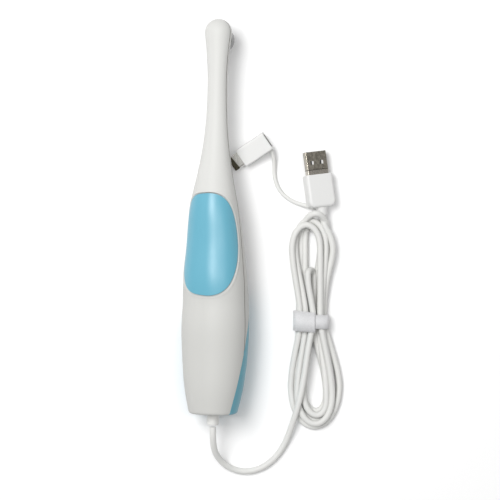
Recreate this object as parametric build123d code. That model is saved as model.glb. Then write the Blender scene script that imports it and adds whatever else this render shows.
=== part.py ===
from build123d import *
import os
from math import cos, sin, tan, radians, pi, copysign, sqrt

# Intraoral camera: a wired dental handpiece with a window on the underside of its head,
# a long blue capture key on its back, a blue inlay round its lower end, and a lead that is
# tied in a hank and ends in a USB-A plug with a tethered USB-C adapter.
# Units are millimetres. The handpiece is modelled in its own frame and then laid down:
# +Y runs from the cord end to the tip, +X is its right side, +Z its back, and Z = 0 is the
# plane where its two shells part.

# Handpiece outline
LENGTH = 212.0
HEAD_RADIUS = 7.2
HEAD_HALF_DEPTH = 6.8
HEAD_DROP = -1.1
SECTION_POWER = 2.2
# y, half width, half depth, height of the widest line over the parting plane
STATIONS = [
    (-5.0, 12.0, 11.4, -0.4),
    (0.0, 12.8, 12.1, -0.7),
    (9.4, 14.9, 14.0, -1.2),
    (21.4, 16.7, 15.3, -1.8),
    (35.4, 17.8, 16.1, -2.3),
    (51.4, 18.05, 16.3, -2.4),
    (67.4, 17.45, 15.8, -1.9),
    (83.4, 16.1, 14.6, -1.0),
    (97.4, 14.75, 13.4, 0.0),
    (109.4, 13.2, 12.1, 1.3),
    (120.4, 11.1, 10.3, 1.5),
    (132.4, 8.75, 8.3, 0.7),
    (146.4, 6.7, 6.4, -0.1),
    (162.4, 5.55, 5.35, -0.6),
    (177.4, 5.25, 5.1, -0.7),
    (189.4, 5.7, 5.4, -0.8),
    (198.0, 6.5, 6.15, -1.0),
]
HEAD_ANGLES = (0, 25, 45, 62, 76)
WALL = 1.8
BASE_WALL = 2.2
BASE_FILLET = 1.8
SEAM_GROOVE = 0.5

# How it lies on the table
ROLL = 21.0
YAW = 0.8

# Capture key: side outline of its opening (y, z), gaps and travel
KEY_OUTLINE = [
    (62.0, 17.0),
    (62.9, 13.6),
    (66.5, 10.6),
    (72.5, 7.8),
    (80.0, 5.0),
    (89.5, 3.1),
    (99.0, 3.5),
    (108.0, 5.3),
    (114.2, 8.0),
    (117.8, 11.2),
    (119.2, 14.5),
]
KEY_TRAVEL = 0.5
KEY_GAP = 0.3
KEY_FLANGE = 1.3
KEY_THICKNESS = 1.5
KEY_LIP_WIDTH = 0.7
KEY_LIP_HEIGHT = 0.2
KEY_POST_RADIUS = 2.6

# Blue inlay under the lower body: side outline of its edge (y, z)
INLAY_OUTLINE = [
    (-4.0, 4.7),
    (11.0, 4.1),
    (22.0, 2.3),
    (33.0, -0.2),
    (43.0, -2.8),
    (51.0, -6.8),
    (58.5, -12.0),
    (62.5, -18.0),
    (63.5, -24.0),
]
INLAY_THICKNESS = 1.2
INLAY_GAP = 0.1

# Window and camera module in the head
LENS_Y = LENGTH - 10.6
WINDOW_RADIUS = 6.4
WINDOW_TOP = -4.2
WINDOW_RIM = -8.7
WINDOW_DOME = 0.9
WINDOW_EDGE = 0.8
WINDOW_FLOOR = 0.4
WINDOW_BORE = 4.6
SPIGOT_RADIUS = 5.5
SPIGOT_LENGTH = 1.4
FIT = 0.1
SEAL_RADIUS = 0.5
LED_BOARD_THICKNESS = 0.8
LED_BOARD_Z = -5.4
LED_COUNT = 8
LED_RING_RADIUS = 3.6
LED_SIZE = (1.3, 1.3, 0.6)
BARREL_RADIUS = 2.4
BARREL_BORE = 1.7
BARREL_LOW = -7.0
BARREL_HIGH = -1.6
LENS_EDGE = 0.4
FRONT_LENS_DEPTH = 0.5
FRONT_LENS_BULGE = 0.5
REAR_LENS_DEPTH = 3.0
REAR_LENS_BULGE = 0.3
SENSOR_SIZE = (4.2, 4.2, 0.8)
SENSOR_BOARD_THICKNESS = 0.8
FLEX_WIDTH = 4.0
FLEX_THICKNESS = 0.3
FLEX_OVERLAP = 1.0

# Main board and what is on it
BOARD_Y = (24.0, 115.0)
BOARD_HALF_WIDTH = 9.0
BOARD_TOP = -0.4
BOARD_THICKNESS = 1.2
BOARD_CORNER = 1.5
BOARD_SCREW_BITE = 4.0
BOARD_SCREWS = ((-6.0, 32.0), (6.0, 32.0), (-6.0, 106.0), (6.0, 106.0))
CHIPS = (
    (0.0, 48.0, 9.0, 9.0, 1.1),
    (4.5, 62.0, 6.0, 8.0, 1.0),
    (-4.0, 62.0, 4.0, 3.2, 0.9),
    (-4.0, 75.0, 5.0, 5.0, 1.2),
    (5.0, 76.0, 2.0, 3.5, 1.0),
)
SWITCH_Y = 91.0
SWITCH_SIZE = (6.2, 6.2, 3.6)
PLUNGER_RADIUS = 1.6
PLUNGER_GAP = 0.3
PLUNGER_TOP = 4.4
PLUNGER_LENGTH = 2.8
CONNECTOR_SIZE = (8.0, 4.0, 1.4)
CONNECTOR_EDGE = 1.0
CORD_SOCKET_SIZE = (8.0, 5.0, 2.4)

# Screws
SCREW_RADIUS = 1.0
SCREW_HEAD_RADIUS = 1.9
SCREW_HEAD_HEIGHT = 1.1
BOSS_RADIUS = 2.6
SHELL_SCREWS = ((-12.2, 31.0), (12.2, 31.0), (-12.2, 56.0), (12.2, 56.0))
SHELL_SCREW_HEAD_Z = -7.5
SHELL_SCREW_TIP_Z = 7.0

# Cord, strain relief and clamp
CORD_DIAMETER = 3.4
CORD_Z = -0.8
SLEEVE_RADIUS = 3.1
SLEEVE_OUT = 6.2
SLEEVE_IN = 5.0
SLEEVE_FLANGE_RADIUS = 4.7
SLEEVE_FLANGE_WIDTH = 1.6
SLEEVE_FILLET = 0.6
CORD_INNER_END = 15.0
CORD_BEND_START = -1.0
CORD_FIRST_CORNER = -12.0
CLAMP_Y = 10.5
CLAMP_SIZE = (15.0, 4.6, 1.8)
CLAMP_CORNER = 1.2
CLAMP_SCREWS = ((-5.2, CLAMP_Y), (5.2, CLAMP_Y))
CLAMP_SCREW_BITE = 3.5
WIRE_COUNT = 4
WIRE_RADIUS = 0.4
WIRE_SPACING = 0.81
WIRE_RISE = 0.5

# Route of the cord on the table after it leaves the strain relief
CORD_ROUTE = [
    (-0.8, -127.0, 12.4),
    (3.2, -134.0, 6.0),
    (9.4, -138.4, 2.4),
    (17.2, -139.8, 1.7),
    (25.2, -137.8, 1.7),
    (32.2, -132.6, 1.7),
    (38.0, -125.0, 1.9),
    (41.8, -115.4, 3.3),
    (44.8, -106.0, 5.6),
]

# Hank of the tied lead
HANK_HEIGHT = 9.2
HANK_OUTLINE = [
    (43.6, -50.0),
    (40.9, -30.0),
    (40.2, -14.0),
    (44.6, -2.0),
    (50.6, 2.6),
    (55.2, -0.6),
    (62.4, -1.8),
    (66.0, -12.0),
    (64.2, -30.0),
    (60.7, -50.0),
    (61.3, -64.0),
    (66.4, -79.0),
    (69.2, -93.0),
    (66.4, -106.0),
    (55.6, -116.6),
    (43.8, -111.0),
    (39.4, -96.0),
    (41.2, -78.0),
    (43.6, -64.0),
]
HANK_HOLES = [
    [(55.2, -34.0), (52.4, -22.0), (52.8, -10.0), (55.0, -6.6), (57.6, -12.0), (57.4, -24.0)],
    [(53.6, -68.0), (49.8, -84.0), (50.2, -97.0), (55.0, -102.6), (59.0, -97.0), (57.4, -83.0)],
]
WAIST_CENTRE = (52.15, -56.9)
WAIST_WIDTH = 17.0
WAIST_LOW = 1.1
WAIST_HIGH = 9.3
WAIST_FILLET = 3.4
TIE_THICKNESS = 1.0
TIE_NARROW = 7.6
TIE_WIDE = 10.6
TIE_LAP_X = 54.3
TIE_LAP_THICKNESS = 0.35
TIE_GAP = 0.5

# Plug lead between the hank and the USB-A plug
LEAD_ROUTE = [(63.8, -16.4, 5.2), (62.2, -9.6, 5.5)]
LEAD_STRAIGHT = 5.4

# USB-A plug: place of its overmould's front face, lie and sizes
PLUG_PLACE = (55.35, 23.0)
PLUG_TURN = 7.7
PLUG_ROLL = 17.0
PLUG_LENGTH = 18.0
PLUG_WIDTH = 15.2
PLUG_THICKNESS = 8.0
PLUG_FILLET = 1.6
PLUG_CORNER = 3.4
NECK_LENGTH = 4.6
NECK_RADIUS_BIG = 3.3
NECK_RADIUS_SMALL = 2.15
USB_A_WIDTH = 12.0
USB_A_HEIGHT = 4.5
USB_A_OUT = 12.6
USB_A_IN = 5.0
USB_A_WALL = 0.35
USB_A_CORNER = 0.5
USB_A_WINDOW = 2.0
USB_A_WINDOW_X = 2.75
USB_A_WINDOW_Y = 6.6
TONGUE_THICKNESS = 1.84
TONGUE_Z = 0.9
TONGUE_SETBACK = 0.6
CONTACT_START = 0.8
CONTACT_WIDTH = 1.0
CONTACT_PITCH = 2.3
CONTACT_THICKNESS = 0.25

# USB-C adapter on its tether
ADAPTER_CENTRE = (21.3, 36.9)
ADAPTER_TURN = 33.3
ADAPTER_PITCH = 12.0
ADAPTER_ROLL = 6.0
ADAPTER_LENGTH = 17.4
ADAPTER_WIDTH = 10.6
ADAPTER_THICKNESS = 6.4
ADAPTER_FILLET = 0.9
USB_C_WIDTH = 8.25
USB_C_HEIGHT = 2.4
USB_C_OUT = 6.6
USB_C_IN = 3.0
USB_C_WALL = 0.3
USB_C_BACK = 0.8
USB_C_SETBACK = 0.9
USB_C_SIDE = 1.0
USB_C_TONGUE = 0.7
SOCKET_WIDTH = 8.5
SOCKET_HEIGHT = 2.8
SOCKET_DEPTH = 6.0
TETHER_DIAMETER = 2.2
TETHER_ROUTE = [
    (30.15, 37.0, 6.2),
    (31.6, 34.0, 4.4),
    (32.0, 29.6, 2.4),
    (31.9, 24.4, 1.2),
    (32.6, 19.6, 1.1),
    (34.6, 15.0, 1.1),
    (37.9, 11.2, 1.1),
    (42.6, 8.2, 1.5),
    (48.1, 6.5, 2.9),
    (53.6, 5.0, 4.8),
]

REACH = 60.0


def section(y, half_width, half_depth, centre):
    """One rounded cross-section of the handpiece, as a closed wire."""
    count = 12
    power = 2 / SECTION_POWER
    points = []
    for index in range(count):
        turn = 2 * pi * index / count
        across = copysign(abs(sin(turn)) ** power, sin(turn))
        up = copysign(abs(cos(turn)) ** power, cos(turn))
        points.append((half_width * across, y, centre + half_depth * up))
    return Wire([Edge.make_spline([Vector(*p) for p in points], periodic=True)])


def body(inset, start=None):
    """The handpiece's outer form taken in by inset; it is cut off below start, if one is given."""
    wires = []
    for y, half_width, half_depth, centre in STATIONS:
        wires.append(section(y, half_width - inset, half_depth - inset, centre))
    head_y = LENGTH - HEAD_RADIUS
    radius = HEAD_RADIUS - inset
    depth = HEAD_HALF_DEPTH - inset
    for angle in HEAD_ANGLES:
        share = cos(radians(angle))
        wires.append(section(head_y + radius * sin(radians(angle)), radius * share, depth * share, HEAD_DROP))
    tip = Vertex(0, head_y + radius, HEAD_DROP)
    form = Solid.make_loft(wires + [tip])
    if start is not None:
        form = form - Pos(0, start - REACH / 2, 0) * Box(REACH, REACH, REACH)
    return form


def side_region(points, amount, edge_z):
    """Face in the YZ plane between a side outline, moved out by amount, and the line z = edge_z."""
    outward = -copysign(1, edge_z)
    moved = []
    for index, (y, z) in enumerate(points):
        before = points[max(index - 1, 0)]
        after = points[min(index + 1, len(points) - 1)]
        run, rise = after[0] - before[0], after[1] - before[1]
        shift = amount * outward / sqrt(run ** 2 + rise ** 2)
        moved.append((y - rise * shift, z + run * shift))
    first, last = moved[0], moved[-1]
    corners = Polyline(last, (last[0], edge_z), (first[0], edge_z), first)
    return make_face([Spline(*moved), corners])


def through(face):
    """Extrude a side region right through the handpiece along X."""
    return extrude(Plane.YZ * face, amount=REACH / 2, both=True)


def post(x, y, low, high, radius):
    """Round post along Z between two heights."""
    return Pos(x, y, (low + high) / 2) * Cylinder(radius, high - low)


def rod(x, z, start, end, radius):
    """Round rod along Y between two stations."""
    return Pos(x, (start + end) / 2, z) * Rot(X=90) * Cylinder(radius, end - start)


def block(x, y, low, size):
    """Box centred on x, y that stands on height low."""
    return Pos(x, y, low + size[2] / 2) * Box(*size)


def screw(x, y, head_low, tip):
    """Pan-head screw: its head sits at head_low and its tip is at height tip."""
    direction = 1 if tip > head_low else -1
    head = post(x, y, *sorted((head_low, head_low - direction * SCREW_HEAD_HEIGHT)), SCREW_HEAD_RADIUS)
    shank = post(x, y, *sorted((head_low, tip)), SCREW_RADIUS)
    slot_z = head_low - direction * SCREW_HEAD_HEIGHT
    slot = Pos(x, y, slot_z) * Box(SCREW_HEAD_RADIUS * 1.3, 0.5, 1.0)
    cross = Pos(x, y, slot_z) * Box(0.5, SCREW_HEAD_RADIUS * 1.3, 1.0)
    return head + shank - slot - cross


def tube(points, diameter, name):
    """Cord tube of straight runs and tangent arcs; prints its radii and checks its volume."""
    corners = [Vector(*p) for p in points]
    radii = []
    for before, corner, after in zip(corners, corners[1:], corners[2:]):
        turn = (corner - before).get_angle(after - corner)
        shorter = min((corner - before).length, (after - corner).length)
        radii.append(0.45 * shorter / tan(radians(turn) / 2))
    path = FilletPolyline(*[tuple(c) for c in corners], radius=radii)
    start = Plane(origin=path @ 0, z_dir=path % 0)
    solid = sweep(start * Circle(diameter / 2), path=path)
    expected = pi * diameter ** 2 / 4 * path.length
    runs = [round((b - a).length, 1) for a, b in zip(corners, corners[1:])]
    print(name, "length", round(path.length, 1), "runs", runs)
    print(name, "radii", [round(r, 1) for r in radii], "volume ratio", round(solid.volume / expected, 4))
    return solid


# Forms that the pieces share
outer = body(0, 0)
outer = fillet(outer.edges().group_by(Axis.Y)[0], BASE_FILLET)
cavity = body(WALL, BASE_WALL)
seat_form = body(WALL + KEY_GAP)
seat_core = body(WALL + KEY_GAP + KEY_THICKNESS)
boss_form = body(WALL / 2)
back_half = Pos(0, LENGTH / 2, REACH / 4) * Box(REACH, LENGTH + 20, REACH / 2)
front_half = Pos(0, LENGTH / 2, -REACH / 4) * Box(REACH, LENGTH + 20, REACH / 2)

key_opening = through(side_region(KEY_OUTLINE, 0, REACH / 2))
inlay_recess = through(side_region(INLAY_OUTLINE, 0, -REACH / 2)) - body(INLAY_THICKNESS + INLAY_GAP)
groove_band = Pos(0, LENGTH / 2, -SEAM_GROOVE / 2) * Box(REACH, LENGTH + 20, SEAM_GROOVE)
seam_ring = groove_band - body(SEAM_GROOVE)
sleeve_hole = rod(0, CORD_Z, -10, SLEEVE_IN + 2, SLEEVE_RADIUS + FIT)
flange_y = BASE_WALL + FIT
flange_end = flange_y + SLEEVE_FLANGE_WIDTH
flange_groove = rod(0, CORD_Z, BASE_WALL, flange_end + FIT, SLEEVE_FLANGE_RADIUS + FIT)
sleeve_housing = rod(0, CORD_Z, BASE_WALL - 0.5, flange_end + 1.4, SLEEVE_FLANGE_RADIUS + 1.8)
board_low = BOARD_TOP - BOARD_THICKNESS
flex_low = BARREL_HIGH + SENSOR_SIZE[2] + SENSOR_BOARD_THICKNESS
clamp_low = CORD_Z + CORD_DIAMETER / 2
clamp_high = clamp_low + CLAMP_SIZE[2]
usb_a_inside = USB_A_WIDTH - 2 * USB_A_WALL
tongue_low = TONGUE_Z - TONGUE_THICKNESS / 2
adapter_end = ADAPTER_LENGTH / 2


def dorsal_shell():
    """Back cover with the key's opening, its raised lip and the bosses that the shell screws bite."""
    lip = body(-KEY_LIP_HEIGHT) & through(side_region(KEY_OUTLINE, KEY_LIP_WIDTH, REACH / 2))
    bosses = [post(x, y, 0, REACH / 2, BOSS_RADIUS) for x, y in SHELL_SCREWS]
    bosses.append(sleeve_housing)
    inner = (Part() + bosses) & boss_form
    cuts = [post(x, y, -1, SHELL_SCREW_TIP_Z + 1, SCREW_RADIUS + FIT) for x, y in SHELL_SCREWS]
    cuts += [key_opening, inlay_recess, flange_groove, sleeve_hole]
    wall = ((outer + lip) & back_half) - cavity
    return wall + (inner & back_half) - cuts


def ventral_shell():
    """Front cover with board feet, screw bosses, the cord saddle and the window's seat."""
    bosses = [post(x, y, -REACH / 2, 0, BOSS_RADIUS) for x, y in SHELL_SCREWS]
    bosses += [post(x, y, -REACH / 2, board_low, BOSS_RADIUS) for x, y in BOARD_SCREWS]
    saddle_top = clamp_low - 2 * FIT
    saddle = block(0, CLAMP_Y, -REACH / 2, (CLAMP_SIZE[0], CLAMP_SIZE[1], REACH / 2 + saddle_top))
    inner = (Part() + bosses + [sleeve_housing & front_half, saddle]) & boss_form
    cuts = [post(x, y, -REACH / 2, 1, SCREW_RADIUS + FIT) for x, y in SHELL_SCREWS]
    cuts += [post(x, y, -REACH / 2, SHELL_SCREW_HEAD_Z, SCREW_HEAD_RADIUS + FIT) for x, y in SHELL_SCREWS]
    cuts += [post(x, y, board_low - 5, board_low + 1, SCREW_RADIUS + FIT) for x, y in BOARD_SCREWS]
    cuts += [post(x, y, clamp_low - 6, clamp_high, SCREW_RADIUS + FIT) for x, y in CLAMP_SCREWS]
    cuts += [rod(0, CORD_Z, 0, 20, CORD_DIAMETER / 2), block(0, CLAMP_Y, CORD_Z, (CORD_DIAMETER, 10, 5))]
    cuts += [post(0, LENS_Y, WINDOW_TOP - 20, 0, SPIGOT_RADIUS + FIT)]
    cuts += [post(0, LENS_Y, WINDOW_TOP - 20, WINDOW_TOP, WINDOW_RADIUS + FIT)]
    cuts += [inlay_recess, flange_groove, sleeve_hole, seam_ring]
    wall = (outer & front_half) - cavity
    return wall + inner - cuts


def capture_key():
    """Long key: a cap flush with the back, a flange under the cover and a post over the switch."""
    lifted = Pos(0, 0, KEY_TRAVEL)
    cap = outer & lifted * through(side_region(KEY_OUTLINE, -KEY_GAP, REACH / 2))
    flange = seat_form & lifted * through(side_region(KEY_OUTLINE, KEY_FLANGE - KEY_GAP, REACH / 2))
    post_form = post(0, SWITCH_Y, PLUNGER_TOP, REACH / 2, KEY_POST_RADIUS) & seat_form
    return (cap + flange) - seat_core + post_form


def grip_inlay():
    """Blue cover set into the lower body; it hides the shell screws."""
    form = outer & through(side_region(INLAY_OUTLINE, -INLAY_GAP, -REACH / 2))
    return form - body(INLAY_THICKNESS)


def lens_window():
    """Smoked cup over the lens: a domed end, a side wall and a spigot that plugs the head's bore."""
    low = WINDOW_RIM - WINDOW_DOME
    floor = WINDOW_RIM + WINDOW_FLOOR
    high = WINDOW_TOP + SPIGOT_LENGTH
    dome_end = (WINDOW_RADIUS - WINDOW_EDGE, low + WINDOW_DOME / 2)
    rim = (WINDOW_RADIUS, dome_end[1] + WINDOW_EDGE)
    steps = [rim, (WINDOW_RADIUS, WINDOW_TOP), (SPIGOT_RADIUS, WINDOW_TOP), (SPIGOT_RADIUS, high)]
    steps += [(WINDOW_BORE, high), (WINDOW_BORE, floor), (0, floor), (0, low)]
    dome = ThreePointArc((0, low), (dome_end[0] / 2, low + WINDOW_DOME / 8), dome_end)
    edge = RadiusArc(dome_end, rim, -WINDOW_EDGE)
    profile = make_face([dome, edge, Polyline(*steps)])
    return Pos(0, LENS_Y, 0) * revolve(Plane.XZ * profile, Axis.Z)


def window_seal():
    """Round seal ring on the spigot's end, between window and head."""
    ring_z = WINDOW_TOP + SPIGOT_LENGTH + SEAL_RADIUS
    return Pos(0, LENS_Y, ring_z) * Torus(SPIGOT_RADIUS - SEAL_RADIUS, SEAL_RADIUS)


def led_board():
    """Ring board that carries the lamps round the lens."""
    ring = post(0, LENS_Y, LED_BOARD_Z, LED_BOARD_Z + LED_BOARD_THICKNESS, WINDOW_BORE - FIT)
    return ring - post(0, LENS_Y, LED_BOARD_Z - 1, BARREL_HIGH, BARREL_RADIUS + FIT)


def illumination_leds():
    """Ring of lamps on the lens side of the ring board."""
    lamps = Part()
    lamp = Pos(LED_RING_RADIUS, 0, LED_BOARD_Z - LED_SIZE[2] / 2) * Box(*LED_SIZE)
    for index in range(LED_COUNT):
        lamps += Pos(0, LENS_Y, 0) * Rot(Z=360 * index / LED_COUNT) * lamp
    return lamps


def lens_barrel():
    """Tube that holds the two lenses over the sensor."""
    outside = post(0, LENS_Y, BARREL_LOW, BARREL_HIGH, BARREL_RADIUS)
    return outside - post(0, LENS_Y, BARREL_LOW - 1, BARREL_HIGH + 1, BARREL_BORE)


def lens(low, bulge):
    """Plano-convex lens that fits the barrel's bore, curved side down."""
    ball_radius = (BARREL_BORE ** 2 + bulge ** 2) / (2 * bulge)
    ball = Pos(0, LENS_Y, low + ball_radius) * Sphere(ball_radius)
    return ball & post(0, LENS_Y, low - 1, low + bulge + LENS_EDGE, BARREL_BORE)


def sensor_board():
    """Round board behind the image sensor."""
    low = BARREL_HIGH + SENSOR_SIZE[2]
    return post(0, LENS_Y, low, low + SENSOR_BOARD_THICKNESS, SPIGOT_RADIUS - FIT)


def head_flex_cable():
    """Flat cable from the sensor board down the neck into the main board's connector."""
    end = LENS_Y - SPIGOT_RADIUS + FLEX_OVERLAP
    start = BOARD_Y[1] - CONNECTOR_SIZE[1]
    return block(0, (start + end) / 2, flex_low, (FLEX_WIDTH, end - start, FLEX_THICKNESS))


def flex_connector():
    """Connector at the board's head end, with the slot that takes the flat cable."""
    middle = BOARD_Y[1] - CONNECTOR_EDGE - CONNECTOR_SIZE[1] / 2
    return block(0, middle, BOARD_TOP, CONNECTOR_SIZE) - head_flex_cable()


def main_board():
    """Main circuit board with its screw holes."""
    size = (2 * BOARD_HALF_WIDTH, BOARD_Y[1] - BOARD_Y[0], BOARD_THICKNESS)
    board = block(0, (BOARD_Y[0] + BOARD_Y[1]) / 2, board_low, size)
    board = fillet(board.edges().filter_by(Axis.Z), BOARD_CORNER)
    return board - [post(x, y, board_low - 1, BOARD_TOP + 1, SCREW_RADIUS + FIT) for x, y in BOARD_SCREWS]


def board_chips():
    """Video processor, memory, bridge chip, regulator and crystal on the main board."""
    chips = Part()
    for x, y, width, length, height in CHIPS:
        chips += block(x, y, BOARD_TOP, (width, length, height))
    return chips


def switch_body():
    """Housing of the snap switch under the key, bored for its plunger."""
    bore_low = PLUNGER_TOP - PLUNGER_LENGTH - KEY_TRAVEL - PLUNGER_GAP
    bore = post(0, SWITCH_Y, bore_low, PLUNGER_TOP, PLUNGER_RADIUS + PLUNGER_GAP)
    return block(0, SWITCH_Y, BOARD_TOP, SWITCH_SIZE) - bore


def switch_plunger():
    """Plunger that the key's post pushes into the switch."""
    return post(0, SWITCH_Y, PLUNGER_TOP - PLUNGER_LENGTH, PLUNGER_TOP, PLUNGER_RADIUS)


def screws(places, head_low, tip):
    """Equal screws at several places."""
    group = Part()
    for x, y in places:
        group += screw(x, y, head_low, tip)
    return group


def cord_sleeve():
    """Strain relief: a short sleeve with an inner flange that the two covers trap."""
    sleeve = rod(0, CORD_Z, -SLEEVE_OUT, SLEEVE_IN, SLEEVE_RADIUS)
    sleeve = fillet(sleeve.edges().group_by(Axis.Y)[0], SLEEVE_FILLET)
    sleeve += rod(0, CORD_Z, flange_y, flange_end, SLEEVE_FLANGE_RADIUS)
    return sleeve - rod(0, CORD_Z, -SLEEVE_OUT - 1, SLEEVE_IN + 1, CORD_DIAMETER / 2)


def cord_clamp():
    """Plate screwed down over the cord inside the base."""
    plate = block(0, CLAMP_Y, clamp_low, CLAMP_SIZE)
    plate = fillet(plate.edges().filter_by(Axis.Z), CLAMP_CORNER)
    return plate - [post(x, y, clamp_low - 1, clamp_high + 1, SCREW_RADIUS + FIT) for x, y in CLAMP_SCREWS]


def cord_wires():
    """Four insulated cores from the end of the jacket to the board's socket."""
    wires = Part()
    for index in range(WIRE_COUNT):
        x = (index - (WIRE_COUNT - 1) / 2) * WIRE_SPACING
        wires += rod(x, CORD_Z + WIRE_RISE, CORD_INNER_END, BOARD_Y[0], WIRE_RADIUS)
    return wires


def cord_socket():
    """Socket on the main board that the cord's cores plug into."""
    return block(0, BOARD_Y[0] + CORD_SOCKET_SIZE[1] / 2, BOARD_TOP, CORD_SOCKET_SIZE)


def waist(grow, length):
    """Squeezed part of the hank inside the tie, made larger by grow all round."""
    x, y = WAIST_CENTRE
    height = WAIST_HIGH - WAIST_LOW
    form = Box(WAIST_WIDTH + 2 * grow, length, height + 2 * grow)
    form = fillet(form.edges().filter_by(Axis.Y), WAIST_FILLET + grow)
    return Pos(x, y, WAIST_LOW + height / 2) * form


def cord_hank():
    """The tied hank as one closed form: its outline, the openings in its loops and its waist."""
    form = extrude(make_face(Spline(*HANK_OUTLINE, periodic=True)), amount=HANK_HEIGHT)
    form -= [extrude(make_face(Spline(*hole, periodic=True)), amount=HANK_HEIGHT) for hole in HANK_HOLES]
    form -= Pos(*WAIST_CENTRE, 0) * Box(REACH, TIE_WIDE + 2 * TIE_GAP, REACH)
    return form + waist(0, TIE_WIDE + 4 * TIE_GAP)


def cord_tie():
    """Hook-and-loop strap round the hank, wider and thicker where its end laps over."""
    y = WAIST_CENTRE[1]
    lap_side = Pos(TIE_LAP_X - REACH / 2, y, REACH / 2) * Box(REACH, REACH, REACH)
    lap = waist(TIE_THICKNESS + TIE_LAP_THICKNESS, TIE_WIDE) & lap_side
    return waist(TIE_THICKNESS, TIE_NARROW) + lap - waist(0, REACH)


def usb_a_overmould():
    """Grip of the USB-A plug with its tapered neck; +Y runs towards the mouth."""
    form = Pos(0, -PLUG_LENGTH / 2, 0) * Box(PLUG_WIDTH, PLUG_LENGTH, PLUG_THICKNESS)
    form = fillet(form.edges().filter_by(Axis.Z).group_by(Axis.Y)[0], PLUG_CORNER)
    form = fillet(form.edges().filter_by(Axis.Y), PLUG_FILLET)
    neck = Pos(0, -PLUG_LENGTH - NECK_LENGTH / 2, 0) * Rot(X=90)
    form += neck * Cone(NECK_RADIUS_BIG, NECK_RADIUS_SMALL, NECK_LENGTH)
    return form - Pos(0, -USB_A_IN / 2, 0) * Box(USB_A_WIDTH, USB_A_IN, USB_A_HEIGHT)


def usb_a_shell():
    """Folded metal shell with two latch windows in its top and its bottom."""
    length = USB_A_OUT + USB_A_IN
    middle = USB_A_OUT - length / 2
    form = Pos(0, middle, 0) * Box(USB_A_WIDTH, length, USB_A_HEIGHT)
    form = fillet(form.edges().filter_by(Axis.Y), USB_A_CORNER)
    form -= Pos(0, middle + USB_A_WALL, 0) * Box(usb_a_inside, length, USB_A_HEIGHT - 2 * USB_A_WALL)
    window = Box(USB_A_WINDOW, USB_A_WINDOW, USB_A_HEIGHT + 1)
    return form - [Pos(x, USB_A_WINDOW_Y, 0) * window for x in (-USB_A_WINDOW_X, USB_A_WINDOW_X)]


def usb_a_tongue():
    """Plastic tongue on its root block inside the metal shell."""
    length = USB_A_OUT - TONGUE_SETBACK
    tongue = block(0, length / 2, tongue_low, (usb_a_inside, length, TONGUE_THICKNESS))
    root_height = USB_A_HEIGHT - 2 * USB_A_WALL
    return tongue + Pos(0, -USB_A_IN / 4, 0) * Box(usb_a_inside, USB_A_IN / 2, root_height)


def usb_a_contacts():
    """Four contact strips on the tongue."""
    strips = Part()
    length = USB_A_OUT - 2 * CONTACT_START - TONGUE_SETBACK
    size = (CONTACT_WIDTH, length, CONTACT_THICKNESS)
    for index in range(4):
        x = (index - 1.5) * CONTACT_PITCH
        strips += block(x, CONTACT_START + length / 2, tongue_low - CONTACT_THICKNESS, size)
    return strips


def oval(width, length, height):
    """Bar along Y with nearly round narrow sides, as USB-C shells have."""
    form = Box(width, length, height)
    return fillet(form.edges().filter_by(Axis.Y), height / 2 - 0.05)


def adapter_body():
    """Grip of the USB-C adapter; +Y runs from its plug end to its socket end."""
    form = Box(ADAPTER_WIDTH, ADAPTER_LENGTH, ADAPTER_THICKNESS)
    form = fillet(form.edges().filter_by(Axis.Y), ADAPTER_FILLET)
    form -= Pos(0, adapter_end - SOCKET_DEPTH / 2, 0) * oval(SOCKET_WIDTH, SOCKET_DEPTH, SOCKET_HEIGHT)
    return form - Pos(0, USB_C_IN / 2 - adapter_end, 0) * oval(USB_C_WIDTH, USB_C_IN, USB_C_HEIGHT)


def usb_c_shell():
    """Metal shell of the adapter's USB-C plug, open at its tip."""
    length = USB_C_OUT + USB_C_IN
    middle = length / 2 - adapter_end - USB_C_OUT
    hollow = oval(USB_C_WIDTH - 2 * USB_C_WALL, length, USB_C_HEIGHT - 2 * USB_C_WALL)
    return Pos(0, middle, 0) * oval(USB_C_WIDTH, length, USB_C_HEIGHT) - Pos(0, middle - USB_C_BACK, 0) * hollow


def usb_c_tongue():
    """Contact carrier inside the USB-C plug, joined to the back of its shell."""
    length = USB_C_OUT + USB_C_IN - USB_C_BACK - USB_C_SETBACK
    middle = USB_C_IN - adapter_end - USB_C_BACK - length / 2
    return Pos(0, middle, 0) * Box(USB_C_WIDTH - 2 * USB_C_WALL - USB_C_SIDE, length, USB_C_TONGUE)


def adapter_socket():
    """Metal liner of the socket in the adapter's other end."""
    middle = adapter_end - SOCKET_DEPTH / 2
    hollow = oval(SOCKET_WIDTH - 2 * USB_C_WALL, SOCKET_DEPTH, SOCKET_HEIGHT - 2 * USB_C_WALL)
    liner = Pos(0, middle, 0) * oval(SOCKET_WIDTH, SOCKET_DEPTH, SOCKET_HEIGHT)
    return liner - Pos(0, middle + USB_C_BACK, 0) * hollow


def adapter_socket_tongue():
    """Contact tongue in the middle of the socket."""
    length = SOCKET_DEPTH - USB_C_BACK - USB_C_SETBACK
    middle = adapter_end - USB_C_SETBACK - length / 2
    return Pos(0, middle, 0) * Box(SOCKET_WIDTH - 2 * USB_C_WALL - USB_C_SIDE, length, USB_C_TONGUE)


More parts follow.
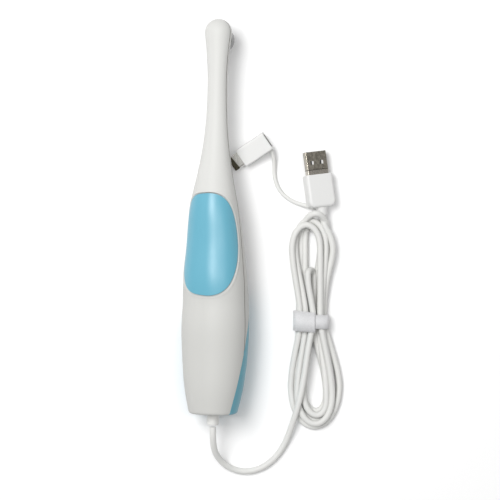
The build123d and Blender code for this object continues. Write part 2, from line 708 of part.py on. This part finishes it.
# Pieces of the handpiece, in its own frame
cord_inside = rod(0, CORD_Z, CORD_BEND_START, CORD_INNER_END, CORD_DIAMETER / 2)
handpiece = {
    "dorsal_shell": dorsal_shell(),
    "ventral_shell": ventral_shell(),
    "capture_key": capture_key(),
    "ventral_grip_inlay": grip_inlay(),
    "lens_window": lens_window(),
    "window_seal": window_seal(),
    "led_board": led_board(),
    "illumination_leds": illumination_leds(),
    "lens_barrel": lens_barrel(),
    "front_lens": lens(BARREL_LOW + FRONT_LENS_DEPTH, FRONT_LENS_BULGE),
    "rear_lens": lens(BARREL_LOW + REAR_LENS_DEPTH, REAR_LENS_BULGE),
    "image_sensor": block(0, LENS_Y, BARREL_HIGH, SENSOR_SIZE),
    "sensor_board": sensor_board(),
    "head_flex_cable": head_flex_cable(),
    "flex_connector": flex_connector(),
    "main_board": main_board(),
    "board_chips": board_chips(),
    "switch_body": switch_body(),
    "switch_plunger": switch_plunger(),
    "board_screws": screws(BOARD_SCREWS, BOARD_TOP, board_low - BOARD_SCREW_BITE),
    "shell_screws": screws(SHELL_SCREWS, SHELL_SCREW_HEAD_Z, SHELL_SCREW_TIP_Z),
    "cord_sleeve": cord_sleeve(),
    "cord_clamp": cord_clamp(),
    "clamp_screws": screws(CLAMP_SCREWS, clamp_high, clamp_low - CLAMP_SCREW_BITE),
    "cord_wires": cord_wires(),
    "cord_socket": cord_socket(),
}

# Lay it down, rolled, with its lowest point on the table and its box centred on the origin
turned = Rot(Z=-YAW) * Rot(Y=-ROLL)
outside = ["dorsal_shell", "ventral_shell", "capture_key", "ventral_grip_inlay", "lens_window"]
box = Compound([turned * handpiece[name] for name in outside]).bounding_box(optimal=True)
place = Pos(-box.center().X, -box.center().Y, -box.min.Z) * turned
pieces = {name: place * form for name, form in handpiece.items()}


def world(x, y, z):
    """Point of the handpiece's frame, as laid down."""
    return (place * Pos(x, y, z)).position


# Cord: straight out of the sleeve, then down to the table and round to the hank
bend_start = world(0, CORD_BEND_START, CORD_Z)
first_corner = world(0, CORD_FIRST_CORNER, CORD_Z)
outer_cord = tube([bend_start, first_corner] + CORD_ROUTE, CORD_DIAMETER, "main cord")
pieces["main_cord"] = outer_cord + place * cord_inside
pieces["cord_hank"] = cord_hank()
pieces["cord_tie"] = cord_tie()

# USB-A plug, rolled on its right-hand edge, and the lead from the hank to its neck
plug_height = PLUG_WIDTH / 2 * sin(radians(PLUG_ROLL)) + PLUG_THICKNESS / 2 * cos(radians(PLUG_ROLL))
plug_place = Pos(*PLUG_PLACE, plug_height) * Rot(Z=PLUG_TURN) * Rot(Y=PLUG_ROLL)
for maker in (usb_a_overmould, usb_a_shell, usb_a_tongue, usb_a_contacts):
    pieces[maker.__name__] = plug_place * maker()
neck_end = (plug_place * Pos(0, -PLUG_LENGTH - NECK_LENGTH, 0)).position
lead_corner = (plug_place * Pos(0, -PLUG_LENGTH - NECK_LENGTH - LEAD_STRAIGHT, 0)).position
pieces["plug_lead"] = tube(LEAD_ROUTE + [lead_corner, neck_end], CORD_DIAMETER, "plug lead")

# USB-C adapter, on its plug-end edge with its socket end lifted, and its tether
adapter_height = adapter_end * sin(radians(ADAPTER_PITCH)) + ADAPTER_THICKNESS / 2
adapter_height += ADAPTER_WIDTH / 2 * sin(radians(ADAPTER_ROLL))
adapter_place = Pos(*ADAPTER_CENTRE, adapter_height) * Rot(Z=ADAPTER_TURN - 90)
adapter_place = adapter_place * Rot(X=ADAPTER_PITCH) * Rot(Y=ADAPTER_ROLL)
for maker in (adapter_body, usb_c_shell, usb_c_tongue, adapter_socket, adapter_socket_tongue):
    pieces[maker.__name__] = adapter_place * maker()
pieces["adapter_tether"] = tube(TETHER_ROUTE, TETHER_DIAMETER, "tether")

os.makedirs("parts", exist_ok=True)
for name, form in pieces.items():
    export_step(form, "parts/" + name + ".step")
press_axis = world(0, 0, -1) - world(0, 0, 0)
print("nodes", len(pieces))
print("cord's first corner", first_corner, "neck ends at", neck_end, "lead corner", lead_corner)
print("key is pressed along", press_axis)
print("moved by", place.position)
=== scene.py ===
import bpy
import bmesh
from math import cos, pi, radians, sin
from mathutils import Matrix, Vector


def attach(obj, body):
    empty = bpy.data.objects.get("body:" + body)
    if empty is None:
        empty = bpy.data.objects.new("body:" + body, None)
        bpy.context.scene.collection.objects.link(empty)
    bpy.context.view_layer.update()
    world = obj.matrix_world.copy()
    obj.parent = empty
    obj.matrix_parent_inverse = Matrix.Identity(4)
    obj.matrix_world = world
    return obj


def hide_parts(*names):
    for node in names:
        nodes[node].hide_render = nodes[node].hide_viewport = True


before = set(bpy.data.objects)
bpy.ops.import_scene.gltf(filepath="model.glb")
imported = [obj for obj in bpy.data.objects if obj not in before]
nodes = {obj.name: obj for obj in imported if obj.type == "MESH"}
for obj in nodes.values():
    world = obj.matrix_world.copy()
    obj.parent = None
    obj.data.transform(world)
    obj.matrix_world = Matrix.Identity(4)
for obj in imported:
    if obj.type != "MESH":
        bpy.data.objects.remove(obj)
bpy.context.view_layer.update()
scene = bpy.context.scene
MM = 0.001


# Camera and light
SENSOR_WIDTH = 36.0
CAMERA_PLACE = (0.0187, -0.0181, 0.85)
VIEW_WIDTH = 0.2747

camera_data = bpy.data.cameras.new("camera")
camera_data.sensor_width = SENSOR_WIDTH
camera_data.lens = SENSOR_WIDTH * CAMERA_PLACE[2] / VIEW_WIDTH
camera_data.clip_start = 0.01
camera = bpy.data.objects.new("camera", camera_data)
camera.location = CAMERA_PLACE
scene.collection.objects.link(camera)
scene.camera = camera
scene.view_settings.view_transform = "Standard"
scene.view_settings.look = "None"


def area_light(name, place, target, size, power):
    """Rectangular lamp at a place, turned towards a target."""
    data = bpy.data.lights.new(name, "AREA")
    data.shape = "RECTANGLE"
    data.size, data.size_y = size
    data.energy = power
    lamp = bpy.data.objects.new(name, data)
    lamp.location = place
    lamp.rotation_euler = (Vector(target) - lamp.location).to_track_quat("-Z", "Y").to_euler()
    scene.collection.objects.link(lamp)


area_light("key", (-0.4, 0.3, 1.05), (0.02, 0, 0), (0.5, 0.5), 8.5)
area_light("top", (-0.1, 0.2, 1.5), (0.02, 0, 0), (1.2, 1.2), 2.5)
area_light("strip", (0.05, 0.035, 1.0), (0.05, 0.03, 0), (0.9, 0.06), 2.2)
world = bpy.data.worlds.new("sky")
scene.world = world
world.use_nodes = True
sky = world.node_tree.nodes["Background"]
sky.inputs["Color"].default_value = (1, 1, 1, 1)
sky.inputs["Strength"].default_value = 0.36


# Shader maths
class Socket:
    """A shader socket that can be added, multiplied and compared like a number."""

    def __init__(self, tree, out):
        self.tree, self.out = tree, out

    def math(self, operation, other):
        """Result of a maths node on this socket and another socket or number."""
        node = self.tree.nodes.new("ShaderNodeMath")
        node.operation = operation
        for place, value in enumerate((self, other)):
            if isinstance(value, Socket):
                self.tree.links.new(value.out, node.inputs[place])
            else:
                node.inputs[place].default_value = value
        return Socket(self.tree, node.outputs[0])

    def __add__(self, other):
        return self.math("ADD", other)

    def __sub__(self, other):
        return self.math("SUBTRACT", other)

    def __mul__(self, other):
        return self.math("MULTIPLY", other)

    def above(self, low, high):
        """0 below low, 1 above high and smooth between."""
        node = self.tree.nodes.new("ShaderNodeMapRange")
        node.interpolation_type = "SMOOTHSTEP"
        self.tree.links.new(self.out, node.inputs[0])
        node.inputs[1].default_value, node.inputs[2].default_value = low, high
        return Socket(self.tree, node.outputs[0])

    def between(self, first, second):
        """Colour that runs from first to second as this goes from 0 to 1."""
        node = self.tree.nodes.new("ShaderNodeMix")
        node.data_type = "RGBA"
        self.tree.links.new(self.out, node.inputs["Factor"])
        for name, colour in (("A", first), ("B", second)):
            place = [i for i in node.inputs if i.name == name and i.type == "RGBA"][0]
            if isinstance(colour, Socket):
                self.tree.links.new(colour.out, place)
            else:
                place.default_value = (*colour, 1)
        out = [o for o in node.outputs if o.type == "RGBA"][0]
        return Socket(self.tree, out)


class Material:
    """A material built from its Principled shader; fields are read at Object coordinates."""

    def __init__(self, name, **constants):
        self.data = bpy.data.materials.new(name)
        self.data.use_nodes = True
        self.tree = self.data.node_tree
        self.shader = self.tree.nodes["Principled BSDF"]
        for key, value in constants.items():
            self.shader.inputs[key.replace("_", " ")].default_value = value
        self.place = self.tree.nodes.new("ShaderNodeTexCoord").outputs["Object"]

    def axis(self, index):
        split = self.tree.nodes.new("ShaderNodeSeparateXYZ")
        self.tree.links.new(self.place, split.inputs[0])
        return Socket(self.tree, split.outputs[index])

    def noise(self, scale, detail=3.0, roughness=0.5, stretch=(1, 1, 1)):
        mapping = self.tree.nodes.new("ShaderNodeMapping")
        mapping.inputs["Scale"].default_value = stretch
        self.tree.links.new(self.place, mapping.inputs[0])
        node = self.tree.nodes.new("ShaderNodeTexNoise")
        self.tree.links.new(mapping.outputs[0], node.inputs["Vector"])
        node.inputs["Scale"].default_value = scale
        node.inputs["Detail"].default_value = detail
        node.inputs["Roughness"].default_value = roughness
        return Socket(self.tree, node.outputs[0])

    def wave(self, scale, direction="X", distortion=0.0):
        node = self.tree.nodes.new("ShaderNodeTexWave")
        node.bands_direction = direction
        self.tree.links.new(self.place, node.inputs["Vector"])
        node.inputs["Scale"].default_value = scale
        node.inputs["Distortion"].default_value = distortion
        return Socket(self.tree, node.outputs[1])

    def put(self, name, value):
        self.tree.links.new(value.out, self.shader.inputs[name])
        return self

    def bump(self, height, strength, distance=0.001):
        node = self.tree.nodes.new("ShaderNodeBump")
        node.inputs["Strength"].default_value = strength
        node.inputs["Distance"].default_value = distance
        self.tree.links.new(height.out, node.inputs["Height"])
        self.tree.links.new(node.outputs[0], self.shader.inputs["Normal"])
        return self


def plastic(name, light, dark, rough, coat=0.0, grain=900.0, relief=0.05, spread=9.0, shine=0.5):
    """Moulded plastic: faint tone drift, uneven gloss and a fine moulded skin."""
    made = Material(name, Specular_IOR_Level=shine, Coat_Weight=coat, Coat_Roughness=0.12)
    drift = made.noise(spread, 3.0)
    fine = made.noise(grain, 2.0)
    made.put("Base Color", drift.above(0.35, 0.65).between(light, dark))
    made.put("Roughness", fine * 0.08 + made.noise(60.0, 4.0) * 0.10 + (rough - 0.09))
    return made.bump(fine, relief, 0.0002)


def metal(name, light, dark, rough, spread=140.0):
    """Plated metal with faint blotches and rubbing marks."""
    made = Material(name, Metallic=1.0)
    blotch = made.noise(spread, 5.0, 0.6)
    rub = made.noise(500.0, 3.0, 0.5, (1.0, 0.15, 1.0))
    made.put("Base Color", blotch.above(0.38, 0.62).between(light, dark))
    made.put("Roughness", rub * 0.16 + (rough - 0.06))
    return made.bump(rub, 0.05, 0.0002)


WHITE = (0.66, 0.66, 0.64)
SHADED_WHITE = (0.645, 0.645, 0.625)
# Painted shade: white for the darker lower end of the body
PAINTED_SHADE_WHITE = (0.55, 0.55, 0.53)
# Painted shade and dirt for the parting groove
GROOVE_SHADE_AND_DIRT = (0.16, 0.14, 0.12)
PLUG_WHITE = (0.74, 0.74, 0.73)
PLUG_WHITE_SHADED = (0.70, 0.70, 0.69)
white_cover = plastic("white_cover", WHITE, SHADED_WHITE, 0.50, shine=0.25)
jacket = plastic("white_jacket", (0.72, 0.72, 0.70), (0.68, 0.68, 0.66), 0.50, grain=1500.0, shine=0.3)
white_plastic = plastic("white_plastic", PLUG_WHITE, PLUG_WHITE_SHADED, 0.42, relief=0.12)
blue_cover = plastic("blue_cover", (0.14, 0.41, 0.53), (0.12, 0.39, 0.51), 0.36, shine=0.6, relief=0.08)
# Painted shade: the inlay is a darker copy of the key's blue, standing in for the shade on the body's
# ventral side
shaded_inlay_blue = plastic("shaded_inlay_blue", (0.10, 0.30, 0.42), (0.12, 0.36, 0.45), 0.40, shine=0.3, relief=0.08)
smoked = plastic("smoked_window", (0.15, 0.155, 0.15), (0.11, 0.11, 0.11), 0.16, coat=0.4, relief=0.0)
black = plastic("black_component", (0.02, 0.02, 0.02), (0.035, 0.035, 0.035), 0.5, relief=0.2)
board = plastic("green_board", (0.02, 0.14, 0.06), (0.03, 0.18, 0.08), 0.45, spread=300.0, relief=0.2)
lamp_body = plastic("lamp", (0.85, 0.80, 0.55), (0.9, 0.88, 0.7), 0.25, relief=0.02)
film = plastic("amber_film", (0.50, 0.22, 0.04), (0.42, 0.17, 0.03), 0.35, relief=0.05)
rubber = plastic("seal_rubber", (0.02, 0.02, 0.02), (0.04, 0.04, 0.04), 0.7, relief=0.3)
steel = metal("steel", (0.55, 0.55, 0.55), (0.42, 0.42, 0.42), 0.32)
plated = metal("plated_shell", (0.34, 0.31, 0.28), (0.15, 0.135, 0.12), 0.22)
gold = metal("gold_contact", (0.83, 0.62, 0.25), (0.7, 0.5, 0.2), 0.25)
anodised = metal("anodised_black", (0.03, 0.03, 0.03), (0.05, 0.05, 0.05), 0.4)


def along(made, place, turn):
    """Distances in metres from a point of the plan, across and along a direction turned by degrees."""
    x, y = made.axis(0) - place[0] * MM, made.axis(1) - place[1] * MM
    c, s = cos(radians(turn)), sin(radians(turn))
    return x * c + y * s, y * c - x * s


PARTING_POINT = (-1.465, -105.905, 19.174)
PARTING_NORMAL = (-0.358333, 0.005004, 0.93358)
PARTING_OFFSET = sum(a * b for a, b in zip(PARTING_POINT, PARTING_NORMAL)) * MM
height = (white_cover.axis(0) * PARTING_NORMAL[0] + white_cover.axis(1) * PARTING_NORMAL[1]
          + white_cover.axis(2) * PARTING_NORMAL[2] - PARTING_OFFSET)
# Painted shade and dirt: a dark brownish line in the groove along the parting of the two shells, where shade
# falls between them
groove = height.above(-0.62 * MM, -0.45 * MM) * (height * -1.0).above(-0.1 * MM, 0.05 * MM)
drift_tone = white_cover.noise(9.0, 3.0).above(0.35, 0.65).between(WHITE, SHADED_WHITE)
# Painted shade: the cover's white darkens towards the base end (towards lower y), standing in for light that
# falls off along the body
cover_tone = white_cover.axis(1).above(-90 * MM, 60 * MM).between(PAINTED_SHADE_WHITE, drift_tone)
white_cover.put("Base Color", groove.between(cover_tone, GROOVE_SHADE_AND_DIRT))

USB_A_PLACE, USB_A_TURN = (55.35, 23.0), 7.7
# Painted reflection and shade on the USB-A shell: its dark olive tone with random blotches stands in for a
# dark reflection, a lighter band short of the fold line is a painted reflection, and the near-black line at
# the fold is painted shade
plug_metal = metal("plated_plug", (0.30, 0.28, 0.25), (0.20, 0.185, 0.165), 0.25, spread=700.0)
plug_out = along(plug_metal, USB_A_PLACE, USB_A_TURN)[1]
fold_shade_line = plug_out.above(2.5 * MM, 2.6 * MM) * (plug_out * -1.0).above(-2.95 * MM, -2.85 * MM)
blotches = plug_metal.noise(700.0, 5.0, 0.6).above(0.38, 0.62)
blotchy_dark_reflection = blotches.between((0.42, 0.39, 0.33), (0.27, 0.25, 0.21))
painted_reflection_tone = (plug_out * -1.0).above(-2.6 * MM, -2.4 * MM).between(blotchy_dark_reflection, (0.46, 0.43, 0.38))
plug_metal.put("Base Color", fold_shade_line.between(painted_reflection_tone, (0.05, 0.045, 0.04)))

insulator = plastic("plug_insulator", PLUG_WHITE, PLUG_WHITE_SHADED, 0.42, relief=0.12)
across = along(insulator, USB_A_PLACE, USB_A_TURN)[0]
# Painted shade: black stripes on the white tongue under the shell's two windows, where shade falls inside
# the windows
left_window_shade = across.above(-3.6 * MM, -3.5 * MM) * (across * -1.0).above(2.0 * MM, 2.1 * MM)
right_window_shade = across.above(1.7 * MM, 1.8 * MM) * (across * -1.0).above(-3.2 * MM, -3.1 * MM)
insulator.put("Base Color", (left_window_shade + right_window_shade).between(PLUG_WHITE, (0.02, 0.02, 0.02)))

USB_C_PLACE, USB_C_TURN = (21.3, 36.9), 33.3
small_metal = metal("plated_small_plug", (0.7, 0.69, 0.66), (0.6, 0.59, 0.56), 0.22)
small_across, small_out = along(small_metal, USB_C_PLACE, USB_C_TURN)
# Painted reflection: the shell's colour splits into a dark olive band at the tip and a silver-white part
# near the block, copying reflections of the surroundings
reflection_split = (small_across + small_out * 0.12).above(-12.9 * MM, -12.4 * MM)
small_metal.put("Base Color", reflection_split.between((0.10, 0.09, 0.065), (0.72, 0.71, 0.68)))

glass = Material("lens_glass", Roughness=0.03, IOR=1.52, Transmission_Weight=0.9)
glass.put("Base Color", glass.noise(200.0).between((0.85, 0.92, 0.95), (0.8, 0.88, 0.93)))

FINISHES = {
    white_cover: ["dorsal_shell", "ventral_shell"],
    blue_cover: ["capture_key"],
    shaded_inlay_blue: ["ventral_grip_inlay"],
    smoked: ["lens_window"],
    rubber: ["window_seal"],
    board: ["led_board", "sensor_board", "main_board"],
    lamp_body: ["illumination_leds"],
    anodised: ["lens_barrel"],
    glass: ["front_lens", "rear_lens"],
    black: ["image_sensor", "board_chips", "switch_body", "usb_c_tongue", "adapter_socket_tongue"],
    film: ["head_flex_cable"],
    white_plastic: ["flex_connector", "switch_plunger", "cord_clamp", "cord_socket", "usb_a_overmould",
                    "adapter_body"],
    steel: ["board_screws", "shell_screws", "clamp_screws"],
    jacket: ["cord_sleeve", "cord_wires"],
    plated: ["adapter_socket"],
    plug_metal: ["usb_a_shell"],
    small_metal: ["usb_c_shell"],
    insulator: ["usb_a_tongue"],
    gold: ["usb_a_contacts"],
}
for finish, names in FINISHES.items():
    for name in names:
        nodes[name].data.materials.clear()
        nodes[name].data.materials.append(finish.data)


# Cords
def cord_curve(name, points, diameter):
    """One smooth open cord through listed and counted points, in millimetres."""
    data = bpy.data.curves.new(name, "CURVE")
    data.dimensions = "3D"
    data.bevel_depth = diameter / 2 * MM
    data.bevel_resolution = 5
    data.resolution_u = 8
    data.use_fill_caps = True
    spline = data.splines.new("NURBS")
    spline.points.add(len(points) - 1)
    for point, place in zip(spline.points, points):
        point.co = (*(v * MM for v in place), 1)
    spline.order_u = 3
    spline.use_endpoint_u = True
    obj = bpy.data.objects.new(name, data)
    scene.collection.objects.link(obj)
    data.materials.append(jacket.data)
    return obj


CORD_DIAMETER = 3.4
CORD_START = [(-1.26, -113.24, 18.43), (-1.35, -117.91, 18.43)]
CORD_ROUTE = [
    (-0.8, -127.0, 12.4),
    (3.2, -134.0, 6.0),
    (9.4, -138.4, 2.4),
    (17.2, -139.8, 1.7),
    (25.2, -137.8, 1.7),
    (32.2, -132.6, 1.7),
    (37.6, -125.0, 1.9),
    (41.2, -115.4, 4.4),
    (44.0, -106.0, 7.6),
    (46.2, -97.4, 8.4),
    (48.0, -88.0, 8.5),
    (49.4, -78.0, 8.4),
    (50.9, -68.0, 8.0),
]
# Per loop: left x, x and y of its end, right x, heights at its left and right, and rise at its end
TOPS = [
    (50.2, 51.8, -29.0, 54.0, 8.2, 2.6, 0.0),
    (49.0, 54.0, -2.6, 57.8, 1.8, 1.8, 0.0),
    (46.8, 54.4, 1.9, 61.4, 1.8, 2.4, 8.0),
    (43.4, 51.4, -1.6, 60.2, 4.8, 4.8, 0.0),
    (41.6, 49.4, -4.2, 56.9, 7.4, 7.6, 0.4),
]
BOTTOMS = [
    (47.8, 54.8, -106.4, 60.4, 1.8, 1.8, 0.0),
    (48.0, 55.2, -108.4, 60.4, 5.1, 5.1, 0.0),
    (44.4, 54.8, -111.6, 64.0, 1.8, 1.8, 0.0),
    (44.5, 54.4, -113.2, 63.6, 5.0, 5.0, 0.0),
    (41.0, 54.0, -115.2, 67.8, 1.8, 1.8, 0.0),
]
# Places of the strands inside the tie, in the order in which the cord passes them
TIE_SLOTS = [
    (53.4, 7.6), (53.2, 4.4),
    (52.2, 2.8), (48.8, 2.8),
    (55.6, 2.8), (45.4, 2.8),
    (57.4, 5.4), (49.6, 5.5),
    (56.9, 7.4), (46.4, 5.8),
    (59.0, 2.8),
]
TIE_Y = -56.9


def arc(loop, direction, from_right):
    """Points round a loop's end, whose extreme point may lie off its middle."""
    left, middle, extreme, right, left_height, right_height, rise = loop
    half = (right - left) / 2
    reach = 1.6 * half
    points = []
    for step in range(9):
        angle = pi * step / 8
        side = cos(angle) if from_right else -cos(angle)
        x = left + half + half * side + (middle - left - half) * sin(angle)
        height = left_height + (right_height - left_height) * (1 + side) / 2 + rise * sin(angle) ** 2
        points.append((x, extreme - direction * reach * (1 - sin(angle)), height))
    return points


def leg(start, slot, straight):
    """Points of a strand from a loop's end to its place in the tie."""
    x, y, z = start
    points = []
    for share in (0.1, 0.28, 0.52, 0.76):
        near = 1 - share
        eased = share * share * (3 - 2 * share)
        if straight:
            eased = (eased + 1 - sin(near * pi / 2)) / 2
        points.append((x + (slot[0] - x) * eased, y + (TIE_Y - y) * share, z + (slot[1] - z) * share))
    return points


points = CORD_START + CORD_ROUTE
for turn in range(5):
    enter, leave, last = TIE_SLOTS[2 * turn: 2 * turn + 3]
    top = arc(TOPS[turn], 1, turn > 0)
    bottom = arc(BOTTOMS[turn], -1, False)
    points += [(enter[0], TIE_Y, enter[1])] + leg(top[0], enter, False)[::-1] + top
    points += leg(top[-1], leave, False) + [(leave[0], TIE_Y, leave[1])]
    points += leg(bottom[0], leave, True)[::-1] + bottom + leg(bottom[-1], last, True)
points += [
    (TIE_SLOTS[-1][0], TIE_Y, TIE_SLOTS[-1][1]),
    (59.3, -45.4, 3.0),
    (61.0, -33.0, 3.8),
    (63.4, -23.6, 4.6),
    (64.2, -16.4, 5.2),
    (62.4, -9.6, 5.5),
    (59.1, -4.75, 6.05),
    (58.38, 0.6, 6.05),
]
main_cord = cord_curve("lead", points, CORD_DIAMETER)
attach(main_cord, "handpiece")
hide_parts("main_cord", "cord_hank", "plug_lead")

TETHER_DIAMETER = 2.2
TETHER = [
    (30.15, 37.0, 6.2),
    (31.6, 34.0, 4.4),
    (32.0, 29.6, 2.4),
    (31.9, 24.4, 1.2),
    (32.6, 19.6, 1.1),
    (34.6, 15.0, 1.1),
    (37.9, 11.2, 1.1),
    (42.6, 8.2, 1.5),
    (48.1, 6.5, 2.9),
    (53.6, 5.0, 4.8),
]
tether = cord_curve("tether", TETHER, TETHER_DIAMETER)
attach(tether, "handpiece")
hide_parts("adapter_tether")


# Tie
def new_mesh(name, build, finish):
    """Mesh object from a bmesh builder, shaded smooth."""
    bm = bmesh.new()
    build(bm)
    bmesh.ops.recalc_face_normals(bm, faces=bm.faces)
    data = bpy.data.meshes.new(name)
    bm.to_mesh(data)
    bm.free()
    for face in data.polygons:
        face.use_smooth = True
    data.materials.append(finish.data)
    obj = bpy.data.objects.new(name, data)
    scene.collection.objects.link(obj)
    return obj


strap = Material("grey_strap", Roughness=0.85, Sheen_Weight=0.4, Sheen_Roughness=0.5)
weave = strap.wave(900.0, "Y", 1.5) * 0.5 + strap.noise(3000.0, 3.0) * 0.8
fibres = strap.noise(2200.0, 4.0).above(0.3, 0.7)
strap.put("Base Color", fibres.between((0.64, 0.64, 0.65), (0.72, 0.72, 0.73)))
strap.bump(weave, 0.35, 0.0003)

WAIST = (52.15, -56.9, 5.2)
WAIST_HALF = (8.5, 4.1)
STRAP_STEPS = 72
STRAP_GAP = 0.05


def rounded(value):
    """Square root that keeps the sign, which turns a circle into a rounded box."""
    return abs(value) ** 0.5 * (1 if value > 0 else -1)


def ring(grow, y_low, y_high, first=0.0, last=1.0, wobble=0.0, slant=0.0):
    """Strap round the waist: a closed or open band of rounded-box section, grow outside the bundle."""
    def build(bm):
        outlines = []
        for out in (STRAP_GAP, grow):
            for y in (y_low, y_high):
                line = []
                for step in range(STRAP_STEPS + 1):
                    angle = 2 * pi * (first + (last - first) * step / STRAP_STEPS)
                    x = (WAIST_HALF[0] + out) * rounded(cos(angle))
                    z = (WAIST_HALF[1] + out) * rounded(sin(angle))
                    edge = wobble * sin(9 * angle + y)
                    place = (WAIST[0] + x, y + edge - slant * x, WAIST[2] + z)
                    line.append(bm.verts.new([v * MM for v in place]))
                outlines.append(line)
        inner_low, inner_high, outer_low, outer_high = outlines
        sides = ((inner_high, inner_low), (inner_low, outer_low),
                 (outer_low, outer_high), (outer_high, inner_high))
        for a, b in sides:
            for i in range(STRAP_STEPS):
                bm.faces.new((a[i], a[i + 1], b[i + 1], b[i]))
        if last - first < 1:
            for i in (0, STRAP_STEPS):
                bm.faces.new((inner_low[i], inner_high[i], outer_high[i], outer_low[i]))
        else:
            bmesh.ops.remove_doubles(bm, verts=bm.verts, dist=1e-7)
        edges = [e for e in bm.edges if len(e.link_faces) == 2 and e.calc_face_angle(0) > 1.0]
        bmesh.ops.bevel(bm, geom=edges, offset=0.25 * MM, segments=2, affect="EDGES")
    return build


narrow = new_mesh("tie_band", ring(1.0, -60.9, -53.3, wobble=0.06, slant=0.03), strap)
wide = new_mesh("tie_lap", ring(1.35, -62.8, -52.0, 0.2425, 0.62, 0.08, 0.09), strap)
for piece in (narrow, wide):
    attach(piece, "handpiece")
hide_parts("cord_tie")


# Floor
floor = new_mesh("floor", lambda bm: bmesh.ops.create_grid(bm, x_segments=1, y_segments=1, size=3.0),
                 plastic("floor_white", (0.95, 0.95, 0.95), (0.94, 0.94, 0.94), 0.6, relief=0.0, spread=1.0))
